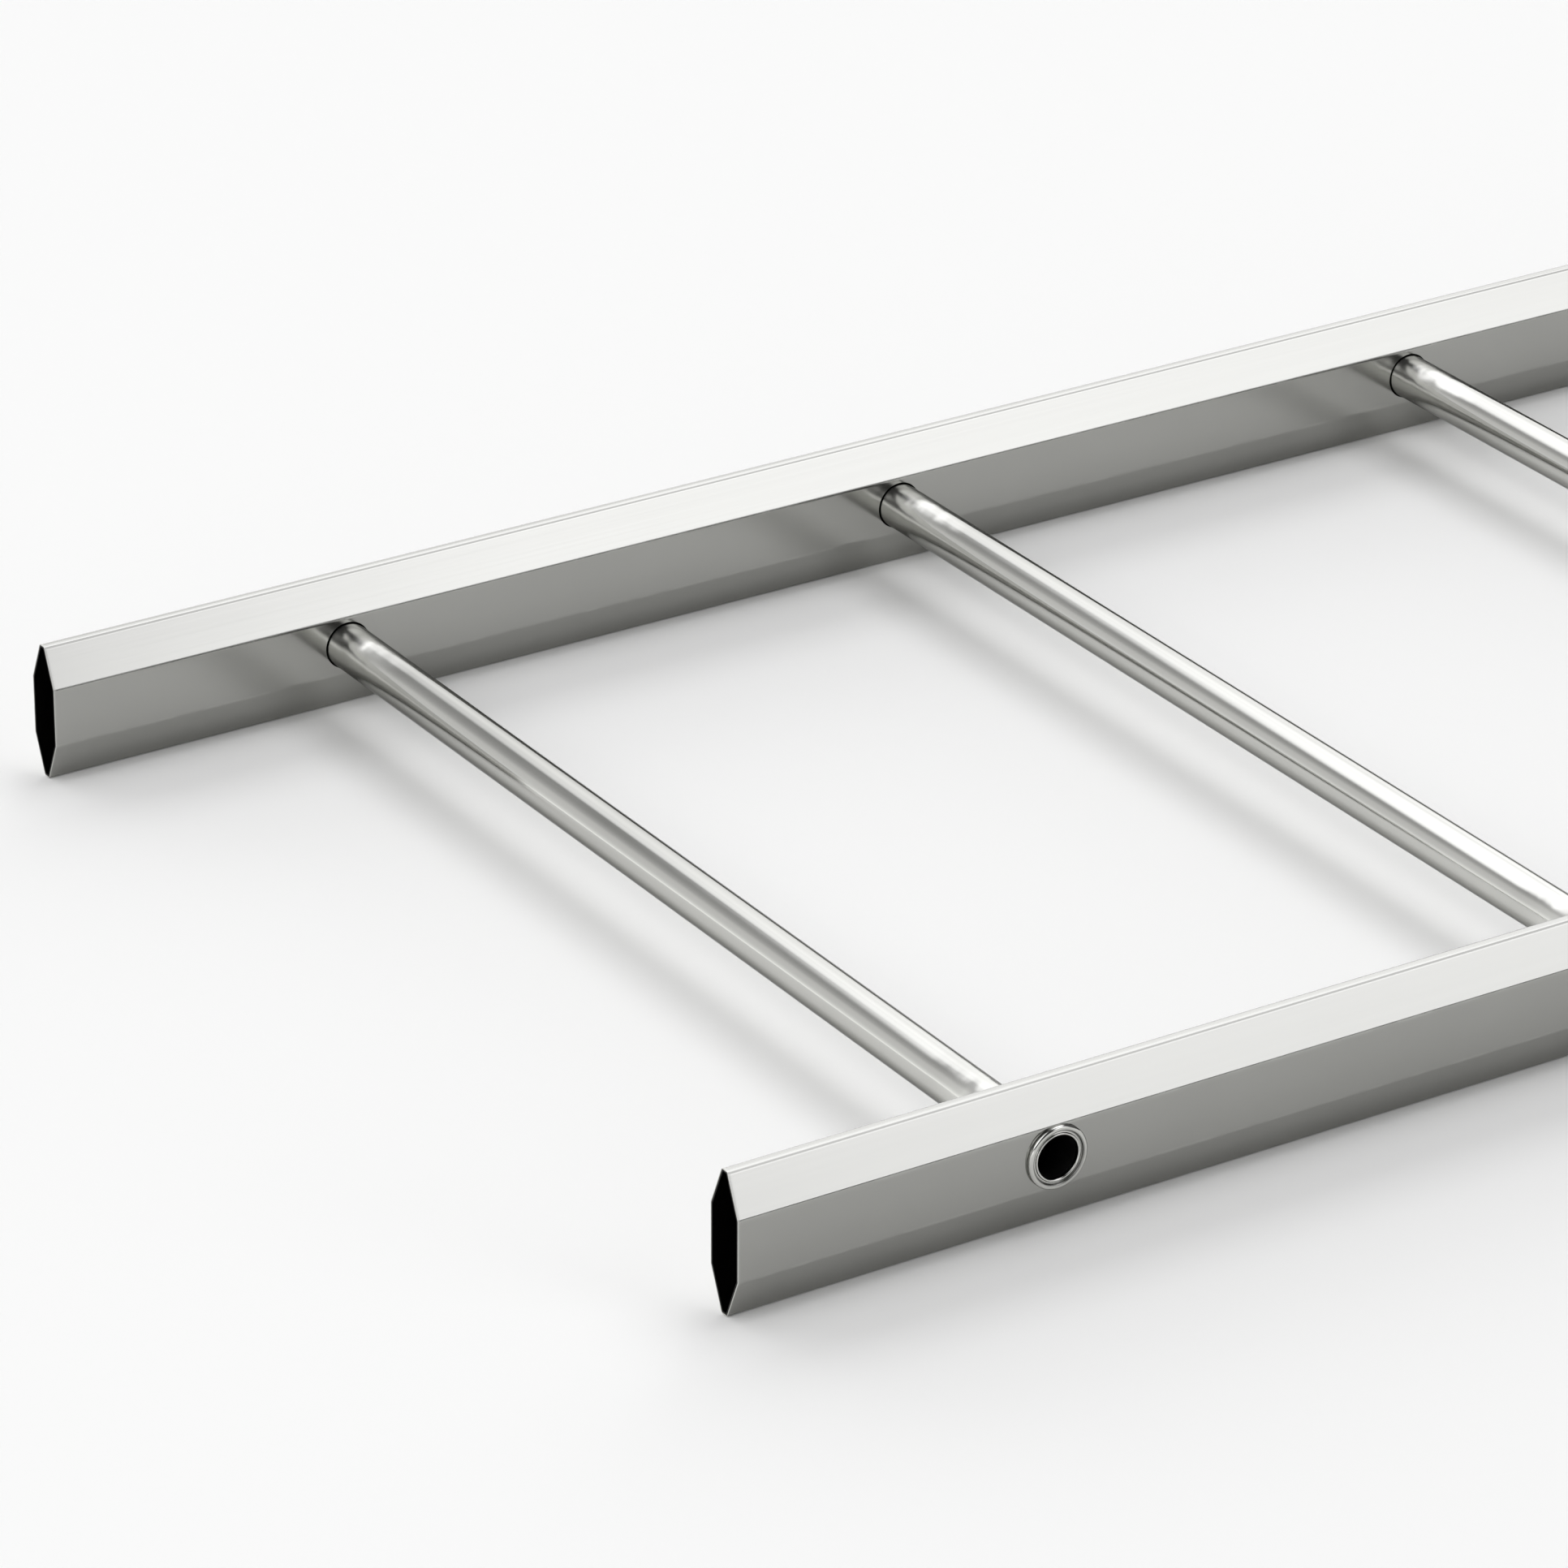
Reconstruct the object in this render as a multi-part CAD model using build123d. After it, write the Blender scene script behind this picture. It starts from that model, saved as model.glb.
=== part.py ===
"""Cable ladder section: two closed hexagonal side rails joined by round tubular rungs.

The section lies on its rails. +X runs along the rails, +Y across the ladder, from the front
rail to the back rail, and +Z is up. The origin is the middle of the footprint, on the floor.
"""
import os

from build123d import *

# Overall sizes, in millimetres
LENGTH = 3000.0          # stock length of one section
RAIL_SPACING = 574.0     # between the middle planes of the two rails
RUNG_PITCH = 300.0
FIRST_RUNG = 150.0       # from the cut end of a rail to the first rung

# Side rail: roll-formed closed tube, much taller than wide
RAIL_HEIGHT = 65.0
RAIL_WIDTH = 20.4
FACE_HEIGHT = 27.4       # upright face, between its two bends
RIDGE_WIDTH = 4.2        # narrow flat along the top and the bottom, between its bends
RAIL_WALL = 1.25
FACE_BEND = 3.5          # outside radius where an upright face meets a sloped face
RIDGE_BEND = 2.0         # outside radius beside the ridges

# Rung: round tube, expanded and rolled over on the outside of each rail
RUNG_RADIUS = 10.75
RUNG_WALL = 1.0
HOLE_CLEARANCE = 0.65    # round the rung in the inside wall of a rail; the outside wall holds it tight

# Rolled end of a rung, measured out from the tube and out from the rail's face
BEAD_OVERHANG = 3.45     # the bead reaches this far past the tube all round
BEAD_PROUD = 2.05        # and stands this far out of the rail's face
BEAD_ROUND = 1.15        # rounding of the bead's outer shoulder
BEAD_FOOT = 0.7          # rounding where the bead meets the rail
GROOVE_WIDTH = 1.15      # ring groove between the bead and the tube's mouth
GROOVE_FLOOR = 0.9       # height of the groove's floor above the rail's face
MOUTH_PROUD = 1.6        # height of the tube's mouth above the rail's face
MOUTH_ROUND = 0.55       # flare of the mouth into the bore

RUNG_COUNT = int((LENGTH - 2 * FIRST_RUNG) / RUNG_PITCH + 1.001)
RUNG_X = [-LENGTH / 2 + FIRST_RUNG + RUNG_PITCH * k for k in range(RUNG_COUNT)]
RUNG_HEIGHT = RAIL_HEIGHT / 2                       # rungs pass through the middle of the rails
FACE_Y = RAIL_SPACING / 2 + RAIL_WIDTH / 2          # outside face of a rail
INSIDE_Y = RAIL_SPACING / 2 - RAIL_WIDTH / 2        # its inside face


def rail_section():
    """The rail's section about its centre: X across the rail, Y up it."""
    w, f, r, h = RAIL_WIDTH / 2, FACE_HEIGHT / 2, RIDGE_WIDTH / 2, RAIL_HEIGHT / 2
    with BuildSketch() as section:
        Polygon((w, -f), (w, f), (r, h), (-r, h), (-w, f), (-w, -f), (-r, -h), (r, -h), align=None)
        face_bends = [v for v in section.vertices() if abs(abs(v.X) - w) < 0.01]
        fillet(face_bends, FACE_BEND)
        ridge_bends = [v for v in section.vertices() if abs(abs(v.Y) - h) < 0.01]
        fillet(ridge_bends, RIDGE_BEND)
        offset(amount=-RAIL_WALL, kind=Kind.INTERSECTION, mode=Mode.SUBTRACT)
    return section.sketch


def make_rail(side):
    """One rail with its rung holes. side is -1 for the front rail, +1 for the back rail."""
    y = side * RAIL_SPACING / 2
    start = Plane(origin=(-LENGTH / 2, y, RUNG_HEIGHT), x_dir=(0, 1, 0), z_dir=(1, 0, 0))
    rail = extrude(start * rail_section(), amount=LENGTH)
    tight = Cylinder(RUNG_RADIUS, RAIL_WIDTH)
    loose = Cylinder(RUNG_RADIUS + HOLE_CLEARANCE, RAIL_WIDTH)
    holes = []
    for x in RUNG_X:
        for wall_y, tool in ((side * FACE_Y, tight), (side * INSIDE_Y, loose)):
            holes.append(Plane(origin=(x, wall_y, RUNG_HEIGHT), z_dir=(0, 1, 0)) * tool)
    return rail - holes


def rung_half_section():
    """Half section of a rung from its middle to its rolled end: X is the radius, Y the length."""
    bore = RUNG_RADIUS - RUNG_WALL
    lip = RUNG_RADIUS + BEAD_OVERHANG
    groove = RUNG_RADIUS + GROOVE_WIDTH
    top, floor, mouth = FACE_Y + BEAD_PROUD, FACE_Y + GROOVE_FLOOR, FACE_Y + MOUTH_PROUD
    inner_round = min(0.45 * (BEAD_PROUD - GROOVE_FLOOR), 0.45 * (lip - groove))
    floor_round = min(0.45 * GROOVE_WIDTH, 0.45 * (MOUTH_PROUD - GROOVE_FLOOR))
    rounds = {
        (lip, FACE_Y): min(BEAD_FOOT, 0.4 * BEAD_PROUD),
        (lip, top): min(BEAD_ROUND, 0.55 * BEAD_PROUD, 0.5 * (lip - groove)),
        (groove, top): inner_round,
        (groove, floor): floor_round,
        (RUNG_RADIUS, floor): floor_round,
        (RUNG_RADIUS, mouth): min(0.3 * RUNG_WALL, floor_round),
        (bore, mouth): min(MOUTH_ROUND, 0.6 * RUNG_WALL),
    }
    with BuildSketch() as half:
        Polygon((bore, 0), (RUNG_RADIUS, 0), (RUNG_RADIUS, FACE_Y), (lip, FACE_Y), (lip, top),
                (groove, top), (groove, floor), (RUNG_RADIUS, floor), (RUNG_RADIUS, mouth),
                (bore, mouth), align=None)
        for (x, y), radius in rounds.items():
            fillet(half.vertices().sort_by_distance((x, y))[0], radius)
    return half.sketch


def make_rung():
    """One rung on the origin, lying along Y, with both ends rolled over."""
    half = revolve(rung_half_section(), Axis.Y)
    return half + mirror(half, Plane.XZ)


os.makedirs("parts", exist_ok=True)

for side, name in ((-1, "side_rail_front"), (1, "side_rail_back")):
    export_step(make_rail(side), f"parts/{name}.step")

rung = make_rung()
for number, x in enumerate(RUNG_X, start=1):
    placed = Location((x, 0, RUNG_HEIGHT)) * rung
    export_step(placed, f"parts/rung_{number:02d}.step")

print("rungs", RUNG_COUNT, "from x", RUNG_X[0], "to", RUNG_X[-1])
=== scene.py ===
# %% [markdown]
# # A cable ladder section
# The object is a straight section of cable ladder: two closed side rails and round rungs. The CAD
# model already holds every piece at its real size, so this file gives them light and a finish. First
# the frame is loaded. It brings in the rails and the rungs, each as one object that sits at the origin.

# %% Load the frame
import math

import bmesh
import bpy
from mathutils import Matrix, Vector

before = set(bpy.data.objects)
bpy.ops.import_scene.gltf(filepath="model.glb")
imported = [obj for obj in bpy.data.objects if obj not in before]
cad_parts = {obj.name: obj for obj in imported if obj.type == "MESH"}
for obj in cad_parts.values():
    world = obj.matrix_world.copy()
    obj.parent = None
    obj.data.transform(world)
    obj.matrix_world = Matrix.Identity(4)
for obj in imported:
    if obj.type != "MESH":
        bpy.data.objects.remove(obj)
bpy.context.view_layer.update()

# %% [markdown]
# The photograph was taken with a long lens from above one end of the ladder. The lens, the heading and
# the height come from the straight edges of the rails: lines along the rails meet at one point, lines
# along the rungs at another, and those two points fix how the camera was turned. It is set here by
# angles, so that each number can be read and changed by itself.

# %% Camera
HEADING = math.radians(32.506)      # turned from +Y towards +X
DOWNWARD = math.radians(25.795)
ROLL = math.radians(0.25)
CAMERA_SPOT = Vector((-2.90607, -2.53548, 1.51352))
LENS_MM, SENSOR_MM = 177.94, 36.0
NEAREST, FARTHEST = 0.1, 200.0      # how near and how far the camera sees, in metres

forward = Vector((math.sin(HEADING) * math.cos(DOWNWARD), math.cos(HEADING) * math.cos(DOWNWARD),
                  -math.sin(DOWNWARD)))
level = Vector((math.cos(HEADING), -math.sin(HEADING), 0.0))
upward = level.cross(forward)
right = level * math.cos(ROLL) + upward * math.sin(ROLL)
upward = upward * math.cos(ROLL) - level * math.sin(ROLL)

camera_data = bpy.data.cameras.new("camera")
camera_data.lens, camera_data.sensor_width = LENS_MM, SENSOR_MM
camera_data.clip_start, camera_data.clip_end = NEAREST, FARTHEST
camera = bpy.data.objects.new("camera", camera_data)
bpy.context.scene.collection.objects.link(camera)
turn = Matrix((right, upward, -forward)).transposed().to_4x4()
camera.matrix_world = Matrix.Translation(CAMERA_SPOT) @ turn
bpy.context.scene.camera = camera
print("camera at", [round(v, 3) for v in camera.matrix_world.translation])

# %% [markdown]
# A small helper keeps the shader maths readable. It wraps one socket of a node, so that an expression
# such as 1 - mask * 0.3 adds the Math nodes for it.

# %% Sums of sockets
class Socket:
    """One output of a shader node, which takes part in sums like a number."""

    def __init__(self, nodes, socket):
        self.nodes, self.socket = nodes, socket

    def _math(self, operation, *values):
        return self.nodes.add("ShaderNodeMath", {"operation": operation},
                              **{f"_{i}": value for i, value in enumerate(values)})[0]

    def __add__(self, other): return self._math("ADD", self, other)
    def __radd__(self, other): return self._math("ADD", other, self)
    def __sub__(self, other): return self._math("SUBTRACT", self, other)
    def __rsub__(self, other): return self._math("SUBTRACT", other, self)
    def __mul__(self, other): return self._math("MULTIPLY", self, other)
    def __rmul__(self, other): return self._math("MULTIPLY", other, self)
    def __truediv__(self, other): return self._math("DIVIDE", self, other)
    def __abs__(self): return self._math("ABSOLUTE", self)
    def __pow__(self, other): return self._math("POWER", self, other)
    def least(self, other): return self._math("MINIMUM", self, other)
    def most(self, other): return self._math("MAXIMUM", self, other)

    def ramp(self, low, high):
        """0 below low, 1 above high, and smooth between them."""
        return self.nodes.add("ShaderNodeMapRange", {"interpolation_type": "SMOOTHSTEP"},
                              _0=self, _1=low, _2=high, _3=0.0, _4=1.0)[0]

    def between(self, low, high, fade):
        """1 between low and high, 0 outside them, with an edge that fades over twice the fade."""
        return self.ramp(low - fade, low + fade) * (1.0 - self.ramp(high - fade, high + fade))


print("sums of sockets ready")

# %% [markdown]
# Every other kind of node comes from one method. It takes the node's type, then its settings, such as
# the operation of a Math node or the stops of a ramp, and then the values or links of its sockets. A
# socket is named by its place, _0 or _1, or by its label.

# %% Any other node
class Outputs:
    """The outputs of one node, by number or by name."""

    def __init__(self, nodes, made):
        self.nodes, self.made = nodes, made

    def __getitem__(self, key):
        return Socket(self.nodes, self.made.outputs[key])


class Nodes:
    """The node tree of one material or of the world."""

    def __init__(self, tree):
        self.tree = tree

    def add(self, kind, settings=None, **inputs):
        """Adds a node, sets it up and fills its sockets with values or links."""
        node = self.tree.nodes.new(kind)
        for name, value in (settings or {}).items():
            if name == "stops":
                self.set_stops(node.color_ramp, value)
            else:
                setattr(node, name, value)
        for name, value in inputs.items():
            key = int(name[1:]) if name.startswith("_") else name
            self.fill(node.inputs[key], value)
        return Outputs(self, node)

    def fill(self, target, value):
        """Gives a socket a value, or a link where the value is a Socket."""
        if isinstance(value, Socket):
            self.tree.links.new(value.socket, target)
        else:
            target.default_value = value

    @staticmethod
    def set_stops(ramp, stops):
        """Sets a colour ramp to a list of (place, colour)."""
        while len(ramp.elements) < len(stops):
            ramp.elements.new(0.5)
        for element, (place, colour) in zip(ramp.elements, stops):
            element.position, element.color = place, (*colour, 1.0)


print("node method ready")

# %% [markdown]
# The ladder lies on a plain pale floor. A sheet of white paper would do in a studio; here it is one flat
# face, wide enough that no view sees its edge. It lies a hair below the rails, so the faces never mix.

# %% Floor
FLOOR_DROP = 0.0003
FLOOR_HALF_SIZE = 40.0
FLOOR_COLOUR = (0.93, 0.93, 0.91, 1.0)
FLOOR_ROUGHNESS = 0.9

floor_mesh = bpy.data.meshes.new("floor")
shaping = bmesh.new()
bmesh.ops.create_grid(shaping, x_segments=1, y_segments=1, size=FLOOR_HALF_SIZE)
bmesh.ops.translate(shaping, verts=shaping.verts, vec=(0.0, 0.0, -FLOOR_DROP))
shaping.to_mesh(floor_mesh)
shaping.free()
floor = bpy.data.objects.new("floor", floor_mesh)
bpy.context.scene.collection.objects.link(floor)

floor_paint = bpy.data.materials.new("floor_paper")
floor_paint.use_nodes = True
floor_shader = floor_paint.node_tree.nodes["Principled BSDF"]
floor_shader.inputs["Base Color"].default_value = FLOOR_COLOUR
floor_shader.inputs["Roughness"].default_value = FLOOR_ROUGHNESS
floor_shader.inputs["Specular IOR Level"].default_value = 0.0
floor_mesh.materials.append(floor_paint)
print("floor at", -FLOOR_DROP)

# %% [markdown]
# Bright metal shows what stands round it more than its own colour. In the photograph each rung has a
# white band and then, past a sharp line, a grey one: the white is a soft light behind the ladder and
# above it, the grey the dimmer room beneath that light. The upper faces of the rails are white from a
# low light on the camera's side. All the lights are drawn into the world, far away, so that they light
# the floor evenly and look the same from every piece.
#
# First comes the room itself, as two ramps from the horizon to the zenith. It is brighter behind the
# ladder than in front of it, which leaves a light shadow on the camera's side of each rail. The upright
# faces show that shadow, and so they are darker than the upper ones.

# %% The room
ROOM_STRENGTH = 2.5                 # the ramps hold the room's level divided by this
LIGHT_LEVEL = 0.95                  # keeps the open floor just under white
# (sine of the height above the horizon, level)
LEVELS_BEHIND = [(0.0, 1.8), (0.035, 1.45), (0.10, 1.11), (0.21, 0.92), (0.42, 0.83),
                 (0.50, 0.60), (0.60, 0.41), (0.70, 0.20), (0.85, 0.15), (1.0, 0.15)]
LEVELS_BEFORE = [(0.0, 0.08), (0.5, 0.05), (1.0, 0.08)]
LEFT_SHARE = 0.5                    # how far the bright side of the room reaches round to the left
HALF_TURN = 0.7                     # how far from the middle the change from dim to bright reaches

world = bpy.data.worlds.new("studio")
bpy.context.scene.world = world
world.use_nodes = True
world.node_tree.nodes.clear()
sky = Nodes(world.node_tree)
direction = sky.add("ShaderNodeTexCoord")["Generated"]
parts = sky.add("ShaderNodeSeparateXYZ", _0=direction)
aside, behind, height = parts["X"], parts["Y"], parts["Z"]


def room_ramp(levels):
    """A grey ramp over the height of a direction."""
    stops = [(place, (level / ROOM_STRENGTH,) * 3) for place, level in levels]
    return sky.add("ShaderNodeValToRGB", {"stops": stops}, Fac=height)["Color"]


towards_back = (behind - LEFT_SHARE * aside).ramp(-HALF_TURN, HALF_TURN)
room = sky.add("ShaderNodeMix", {"data_type": "RGBA"}, _0=towards_back,
               _6=room_ramp(LEVELS_BEFORE), _7=room_ramp(LEVELS_BEHIND))[2]
print("room ready, levels behind", LEVELS_BEHIND[0][1], "to", LEVELS_BEHIND[-1][1])

# %% [markdown]
# Two soft lights are drawn on flat sheets that stand one metre behind the ladder and before it: dividing
# the direction by its depth gives the place on that sheet, across and up. A sheet keeps straight edges
# straight, as a softbox has them, which rings round the sky would not.
#
# The light behind is cut off along a level lower edge that turns down to the right, where it also gets
# softer.

# %% Soft light behind the ladder
LEAST_DEPTH = 0.05                  # keeps the division away from zero
AHEAD = (0.08, 0.30)                # depths between which a sheet fades in
EDGE_HEIGHT, EDGE_SLOPE = 0.90, 0.51
STEEPER_FROM = 0.4                  # across; from here the edge falls a metre more in each metre
EDGE_SOFTNESS, SOFTER_ASIDE = 0.05, 0.60
BACK_LEVEL, BACK_LEVEL_HIGH = 1.22, 0.60
HIGH_PART, TOP_FADE = (0.55, 0.85), (1.5, 1.92)
RIGHT_FADE, LEFT_FADE = (1.2, 2.0), (-1.6, -1.0)


def sheet_place(depth):
    """Where a direction meets an upright sheet at one metre; also 0 for what looks the other way."""
    safe = depth.most(LEAST_DEPTH)
    return aside / safe, height / safe, depth.ramp(*AHEAD)


across, up, ahead = sheet_place(behind)
rightward = across.most(0.0)
lower_edge = EDGE_HEIGHT - EDGE_SLOPE * rightward - (across - STEEPER_FROM).most(0.0)
softness = EDGE_SOFTNESS + SOFTER_ASIDE * rightward
back_light = ((up - lower_edge) / softness).ramp(-1.0, 1.0) * ahead
back_light = back_light * (BACK_LEVEL + BACK_LEVEL_HIGH * up.ramp(*HIGH_PART))
back_light = back_light * (1.0 - up.ramp(*TOP_FADE)) * (1.0 - across.ramp(*RIGHT_FADE))
back_light = back_light * across.ramp(*LEFT_FADE)
print("light behind, lower edge at", EDGE_HEIGHT)

# %% [markdown]
# The light in front stands low and to the right. It is what the sloping upper faces of both rails show.

# %% Soft light before the ladder
FRONT_LEVEL = 2.86
RISE, FALL = (0.0, 0.32), (0.31, 0.50)
START, END = (0.35, 0.529), (0.85, 1.4)

across, up, ahead = sheet_place(-1.0 * behind)
front_light = FRONT_LEVEL * up.ramp(*RISE) * (1.0 - up.ramp(*FALL)) * ahead
front_light = front_light * across.ramp(*START) * (1.0 - across.ramp(*END))
print("light before, level", FRONT_LEVEL)

# %% [markdown]
# The other lights are patches of the sky, each between two heights and round one heading, with soft
# edges. The one overhead and to the right whitens the ridges, and the tall one joins it to the low light
# in front. The low one at the right stands in the edges of the rungs, and those to the left whiten their
# rolled ends and light the corners between rungs and far rail. The round one straight behind shows in
# nothing that the photograph shows; it only keeps the floor bright behind and shaded in front.

# %% Soft lights in the sky
# level, then in degrees: heading, half width, side fade, lowest, highest, end fade
PATCHES = {
    "overhead": (2.3, 88.5, 43.0, 15.0, 46.3, 82.0, 5.0),
    "tall": (1.33, 143.0, 15.0, 6.0, 18.0, 51.0, 6.0),
    "low right": (1.6, 62.0, 20.0, 8.0, -20.0, 21.0, 8.0),
    "low left": (2.3, 222.0, 12.0, 8.0, -20.0, 9.0, 6.0),
    "left": (1.6, 250.0, 36.0, 12.0, 25.0, 80.0, 6.0),
}
ROUND_LEVEL, ROUND_EDGE = 1.4, (0.80, 0.87)
azimuth = sky.add("ShaderNodeMath", {"operation": "ARCTAN2"}, _0=aside, _1=behind)[0]
elevation = sky.add("ShaderNodeMath", {"operation": "ARCSINE"}, _0=height)[0]


def patch(strength, *degrees):
    """A soft light round a heading, counted from straight behind to the right."""
    heading, half_width, side_fade, lowest, highest, end_fade = map(math.radians, degrees)
    turned = sky.add("ShaderNodeMath", {"operation": "WRAP"}, _0=azimuth - heading, _1=math.pi,
                     _2=-math.pi)[0]
    near_heading = 1.0 - abs(turned).ramp(half_width - side_fade, half_width + side_fade)
    return strength * near_heading * elevation.between(lowest, highest, end_fade)


lights = back_light + front_light + ROUND_LEVEL * behind.ramp(*ROUND_EDGE)
for numbers in PATCHES.values():
    lights = lights + patch(*numbers)
print("patches of sky:", ", ".join(PATCHES))

# %% [markdown]
# All the lights are added to the room. They are a little cooler than the floor's paper. The world is
# sampled from a map of its own, so that small bright patches give no grain on the floor.

# %% The world's light
WARM, COOL = 0.99, 1.015            # red and green, and blue
MAP_SIZE = 512

lights = lights / ROOM_STRENGTH
lights_colour = sky.add("ShaderNodeCombineXYZ", _0=WARM * lights, _1=WARM * lights,
                        _2=COOL * lights)["Vector"]
whole_room = sky.add("ShaderNodeVectorMath", {"operation": "ADD"}, _0=room,
                     _1=lights_colour)["Vector"]
background = sky.add("ShaderNodeBackground", Color=whole_room,
                     Strength=ROOM_STRENGTH * LIGHT_LEVEL)["Background"]
sky.add("ShaderNodeOutputWorld", Surface=background)
world.cycles.sampling_method = "MANUAL"
world.cycles.sample_map_resolution = MAP_SIZE
print("world drawn with", len(world.node_tree.nodes), "nodes")

# %% [markdown]
# The rails and the rungs are bright metal, smooth from the rolling mill. One class holds what both have
# in common. A faint grain runs along the piece: noise stretched along it, which changes the roughness
# and, by a hair, the height of the surface. A broader noise makes the sheet a little cloudy in colour
# and roughness, and a still broader one leaves it not quite flat, so that reflections drift. The tint
# of the specular light darkens the rim of a round piece, as the rungs of the photograph have it.

# %% Metal in common
ALONG_X, ALONG_Y = 0, 1
GRAIN_ACROSS, GRAIN_ALONG = 900.0, 6.0      # bumps per metre across the grain and along it
CLOUDS = 14.0                               # bumps per metre
GRAIN_HEIGHT = 0.000002                     # metres
NOISE_ROUGHNESS = 0.55


class Metal:
    """A metal material, and the noises that its finish is made of."""

    def __init__(self, name, along, painted_rim):
        self.paint = bpy.data.materials.new(name)
        self.paint.use_nodes = True
        self.nodes = Nodes(self.paint.node_tree)
        self.shader = self.paint.node_tree.nodes["Principled BSDF"]
        self.shader.inputs["Metallic"].default_value = 1.0
        # The specular tint is a painted shade at the grazing rim of a piece; the rungs' rim is painted
        # darker.
        self.shader.inputs["Specular Tint"].default_value = (painted_rim, painted_rim, painted_rim, 1.0)
        self.place = self.nodes.add("ShaderNodeTexCoord")["Object"]
        self.parts = self.nodes.add("ShaderNodeSeparateXYZ", _0=self.place)
        scale = [GRAIN_ACROSS] * 3
        scale[along] = GRAIN_ALONG
        stretched = self.nodes.add("ShaderNodeMapping", _0=self.place, Scale=scale)["Vector"]
        self.grain = self.noise(1.0, 3.0, stretched)
        self.cloud = self.noise(CLOUDS, 4.0)

    def noise(self, scale, detail, where=None):
        """Plain noise between 0 and 1 at a number of bumps per metre."""
        return self.nodes.add("ShaderNodeTexNoise", {"noise_dimensions": "3D"},
                              Vector=where or self.place, Scale=scale, Detail=detail,
                              Roughness=NOISE_ROUGHNESS)["Fac"]

    def finish(self, colour, brightness, roughness, bumps):
        """Links the colour times its brightness, the roughness and the bumps, which are in metres."""
        add, fill, inputs = self.nodes.add, self.nodes.fill, self.shader.inputs
        grey = add("ShaderNodeCombineXYZ", _0=brightness, _1=brightness, _2=brightness)["Vector"]
        fill(inputs["Base Color"],
             add("ShaderNodeVectorMath", {"operation": "MULTIPLY"}, _0=colour, _1=grey)["Vector"])
        fill(inputs["Roughness"], roughness)
        height = GRAIN_HEIGHT * self.grain + bumps
        fill(inputs["Normal"],
             add("ShaderNodeBump", Strength=1.0, Distance=1.0, Height=height)["Normal"])


print("metal in common ready")

# %% [markdown]
# The rails. Their finish depends on where a point lies on the tube, so first come masks, worked out from
# the sizes of the hexagon. The saw cut is the last tenth of a millimetre; it is dull, and its colour is
# a painted shade, dark but for a thin painted highlight round its rim, and a strip of about a millimetre
# beside it carries a painted highlight too and is rougher. The inside of the tube is painted darker, a
# painted shade: it is told from the outside by how deep a point lies under the hexagonal outline.

# %% Rail masks
RAIL_END, RAIL_LINE, RAIL_MIDDLE = 1.5, 0.287, 0.0325   # cut end, middle of a rail across, and up
HALF_WIDTH, HALF_FACE = 0.0102, 0.0137                  # of the tube, and of its upright faces
SLOPE = 0.431                       # how fast the tube narrows above and below its upright faces
CUT, RIM_HIGHLIGHT_DEPTH, INSIDE_SHADE_DEPTH = (0.00004, 0.00012), (0.00035, 0.00065), (0.0005, 0.0009)
CUT_STRIP_HIGHLIGHT, CUT_STRIP_WOBBLE = (0.0007, 0.0010), 0.0006
BEND, WORN_PATCHES, RIDGE_HIGHLIGHT = (0.0003, 0.0010), (0.42, 0.62), (0.0306, 0.0314)
PATCHY = 60.0                       # bumps per metre

rail = Metal("rail_metal", ALONG_X, painted_rim=0.7)
patchy = rail.noise(PATCHY, 3.0)
from_end = RAIL_END - abs(rail.parts["X"])
from_middle = abs(rail.parts["Z"] - RAIL_MIDDLE)
half_width = HALF_WIDTH - SLOPE * (from_middle - HALF_FACE).most(0.0)
depth = (half_width - abs(abs(rail.parts["Y"]) - RAIL_LINE)).least(RAIL_MIDDLE - from_middle)

cut = 1.0 - from_end.ramp(*CUT)
# The cut face is painted dark, a painted shade, with a thin painted highlight round its edge.
sawn_face_shade, painted_rim = cut * depth.ramp(*RIM_HIGHLIGHT_DEPTH), cut * (1.0 - depth.ramp(*RIM_HIGHLIGHT_DEPTH))
# The inside of the tube is marked for a painted shade.
inside_shade = depth.ramp(*INSIDE_SHADE_DEPTH) * (1.0 - cut)
outside = (1.0 - inside_shade) * (1.0 - cut)
# A strip beside the cut is marked for a painted highlight.
cut_strip_highlight = (1.0 - (from_end + CUT_STRIP_WOBBLE * (patchy - 0.5)).ramp(*CUT_STRIP_HIGHLIGHT)) * outside
print("rail masks ready")

# %% [markdown]
# The bends, which rub on everything that the section is stacked on, are worn a little lighter in
# patches, and the ridges carry a painted highlight all along. The masks and the noises then add up to
# one brightness, with its painted highlights and painted shade, one roughness and one height.

# %% Rail metal
# The rails' steel is painted darker than the rungs' steel, a painted shade that darkens their upright
# faces.
RAIL_SHADED_COLOUR = (0.365, 0.365, 0.348)
RAIL_WAVES, RAIL_WAVE_HEIGHT = 7.0, 0.00012             # bumps per metre, and metres

from_bend = abs(from_middle - HALF_FACE)
worn = (1.0 - from_bend.ramp(*BEND)) * patchy.ramp(*WORN_PATCHES) * (1.0 - inside_shade)
# The ridges are marked for a painted highlight all along.
ridge_highlight = from_middle.ramp(*RIDGE_HIGHLIGHT) * outside
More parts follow.
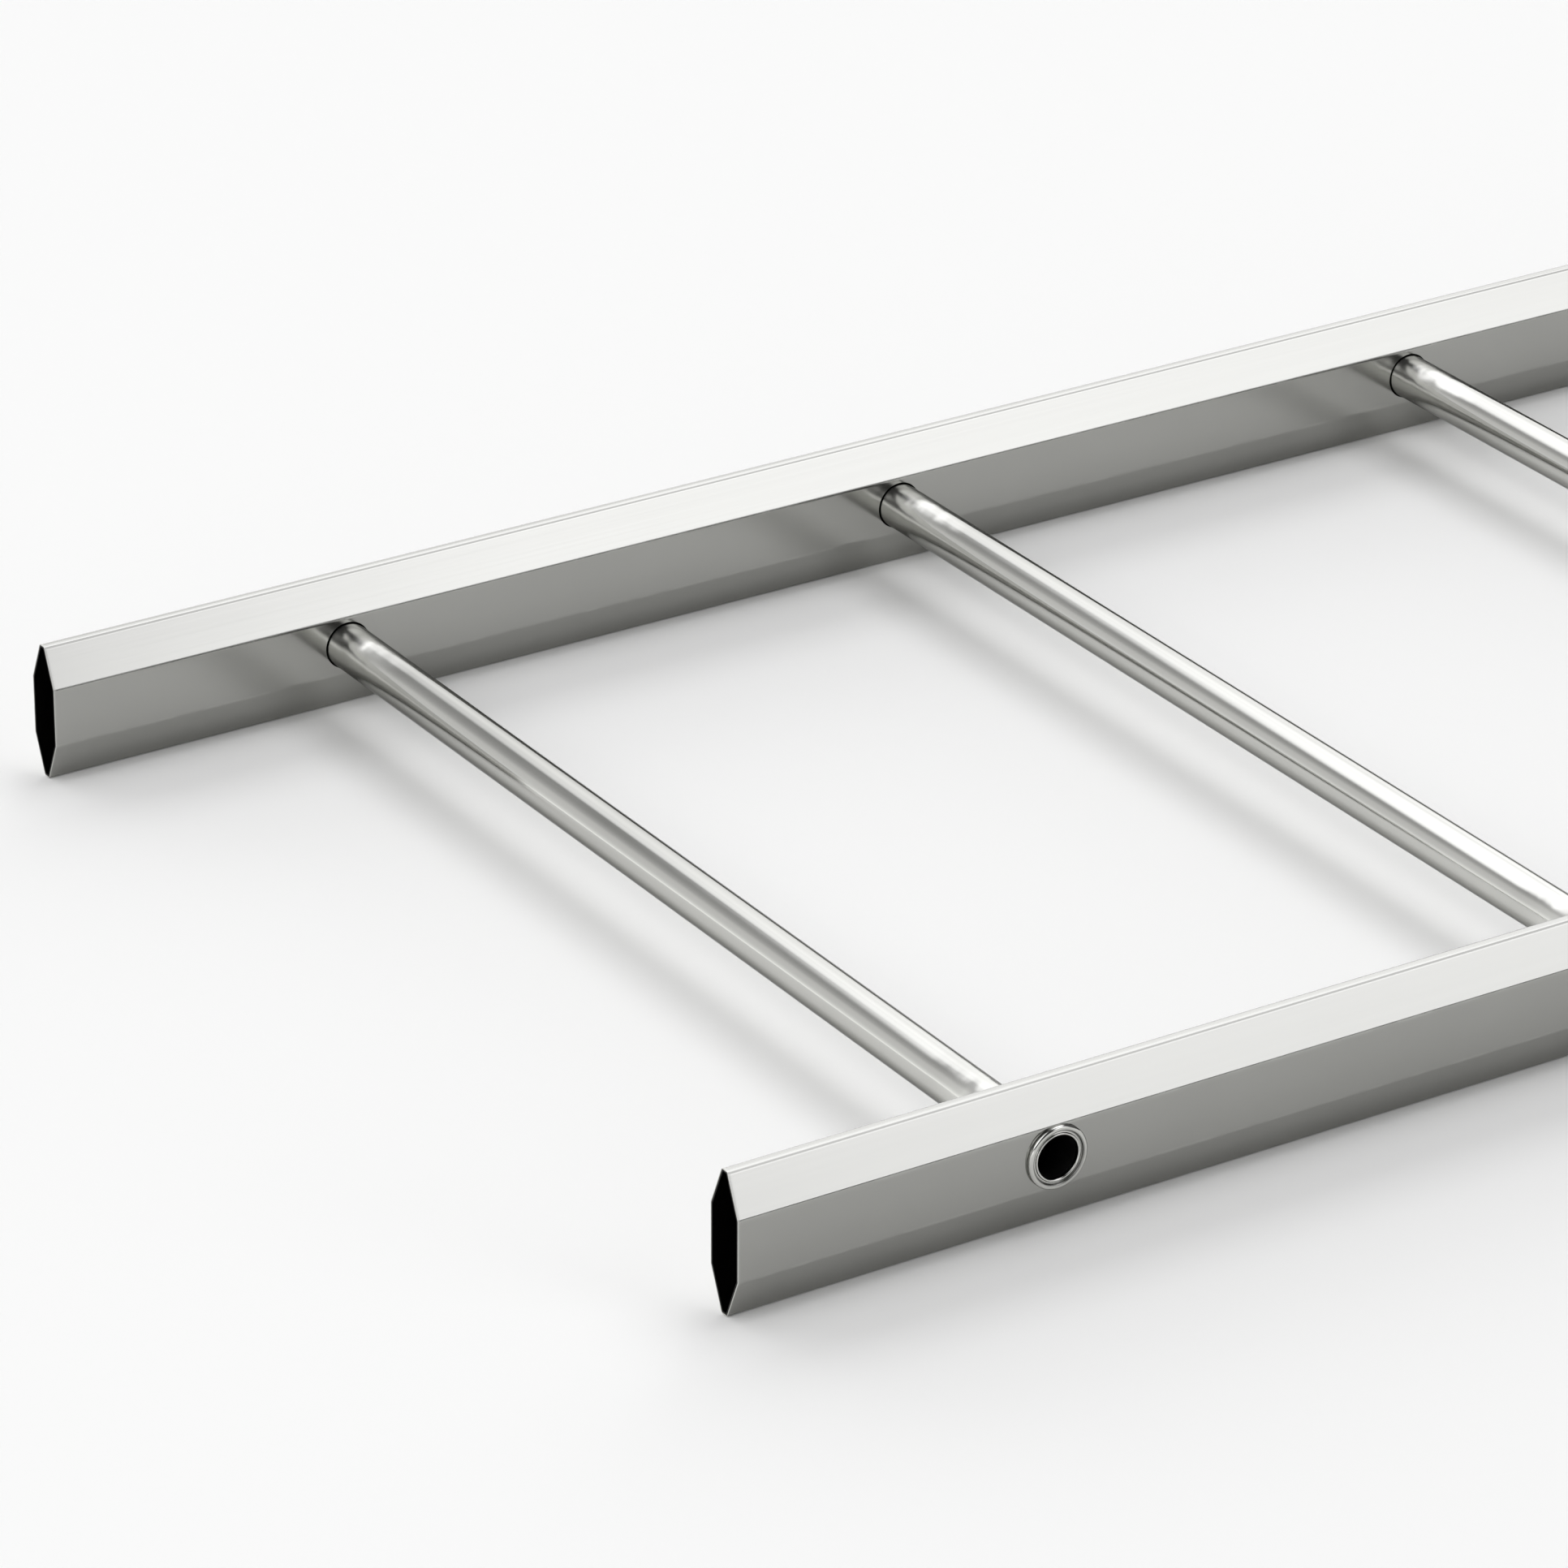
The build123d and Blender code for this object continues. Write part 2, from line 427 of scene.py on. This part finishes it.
# The brightness paints highlights on the ridges, the rim of the cut and the strip beside it, and painted
# shade on the cut face and the inside of the tube.
brightness = 0.94 + 0.12 * rail.cloud + 0.10 * worn + 0.13 * cut_strip_highlight + 0.70 * painted_rim + 0.18 * ridge_highlight
brightness = brightness * (1.0 - 0.93 * sawn_face_shade) * (1.0 - 0.75 * inside_shade)
roughness = 0.115 + 0.03 * rail.grain + 0.05 * rail.cloud + 0.06 * worn
roughness = roughness + 0.10 * cut_strip_highlight + 0.30 * cut + 0.08 * inside_shade
rail.finish(RAIL_SHADED_COLOUR, brightness, roughness, RAIL_WAVE_HEIGHT * rail.noise(RAIL_WAVES, 1.0))
print("rail metal made")

# %% [markdown]
# The rungs. Rolling their ends into the rails leaves the last few centimetres slightly uneven and less
# smooth, which shows as wavy, softer edges in their reflections; these ends are also painted lighter, a
# painted highlight. The groove round each mouth is painted dark, and so is the bore of the tube: both
# are painted shade. All ten rungs share one material: wrapping the place along the rails by the spacing
# puts each rung's own axis at zero.

# %% Rung masks
RUNG_PITCH, FIRST_RUNG = 0.300, -1.350
ROLLED = (0.2970, 0.2974)           # across the ladder, from here outwards a rung is its rolled end
GROOVE_RADIUS, GROOVE_EDGE = 0.0119, (0.0003, 0.0008)
UNEVEN_FROM, UNEVEN_TO = (0.215, 0.262), (0.2766, 0.2768)
BORE_RADIUS, BORE_MOUTH = (0.0101, 0.0103), (0.2960, 0.2985)

rung = Metal("rung_metal", ALONG_Y, painted_rim=0.3)
outward = abs(rung.parts["Y"])
beside = rung.nodes.add("ShaderNodeMath", {"operation": "WRAP"}, _0=rung.parts["X"] - FIRST_RUNG,
                        _1=RUNG_PITCH / 2, _2=-RUNG_PITCH / 2)[0]
from_axis = (beside ** 2.0 + (rung.parts["Z"] - RAIL_MIDDLE) ** 2.0) ** 0.5

# The groove round each mouth is marked for a painted shade.
groove_shade = outward.ramp(*ROLLED) * (1.0 - abs(from_axis - GROOVE_RADIUS).ramp(*GROOVE_EDGE))
# The ends next to the rails are marked for a painted highlight as well as for their bumps.
uneven_lit_end = outward.ramp(*UNEVEN_FROM) * (1.0 - outward.ramp(*UNEVEN_TO))
# The bore is marked for a painted shade.
bore_shade = (1.0 - from_axis.ramp(*BORE_RADIUS)) * (1.0 - outward.ramp(*BORE_MOUTH))
print("rung masks ready")

# %% [markdown]
# The same sums as on the rails give the rungs their finish. Their metal is a little smoother, so their
# bands of light have sharp edges, and the waves at their ends are about ten times as high as elsewhere.

# %% Rung metal
RUNG_COLOUR = (0.575, 0.575, 0.549)
RUNG_WAVES, RUNG_WAVE_HEIGHT = 9.0, 0.00010             # bumps per metre, and metres
END_WAVES, END_WAVE_HEIGHT = 48.0, 0.0011

# The brightness paints light on the rolled ends and painted shade in the groove and the bore.
brightness = 0.95 + 0.10 * rung.cloud + 0.22 * uneven_lit_end
brightness = brightness * (1.0 - 0.55 * groove_shade) * (1.0 - 0.6 * bore_shade)
roughness = 0.065 + 0.03 * rung.grain + 0.05 * rung.cloud
roughness = roughness + 0.15 * groove_shade + 0.10 * uneven_lit_end + 0.2 * bore_shade
waves = RUNG_WAVE_HEIGHT * rung.noise(RUNG_WAVES, 1.0)
end_waves = END_WAVE_HEIGHT * uneven_lit_end * rung.noise(END_WAVES, 1.5)
rung.finish(RUNG_COLOUR, brightness, roughness, waves + end_waves)
print("rung metal made")

# %% [markdown]
# The pieces carry a plain material from the CAD model. Only their material slots change; the meshes stay
# as they are, because their sizes are the checked ones.

# %% Metal onto the pieces
for name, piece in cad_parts.items():
    metal = rung if name.startswith("rung") else rail
    for spot in piece.material_slots:
        spot.material = metal.paint
print("metal on", len(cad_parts), "pieces")

# %% [markdown]
# Standard view shows each colour as it is written.

# %% View settings
bpy.context.scene.view_settings.view_transform = "Standard"
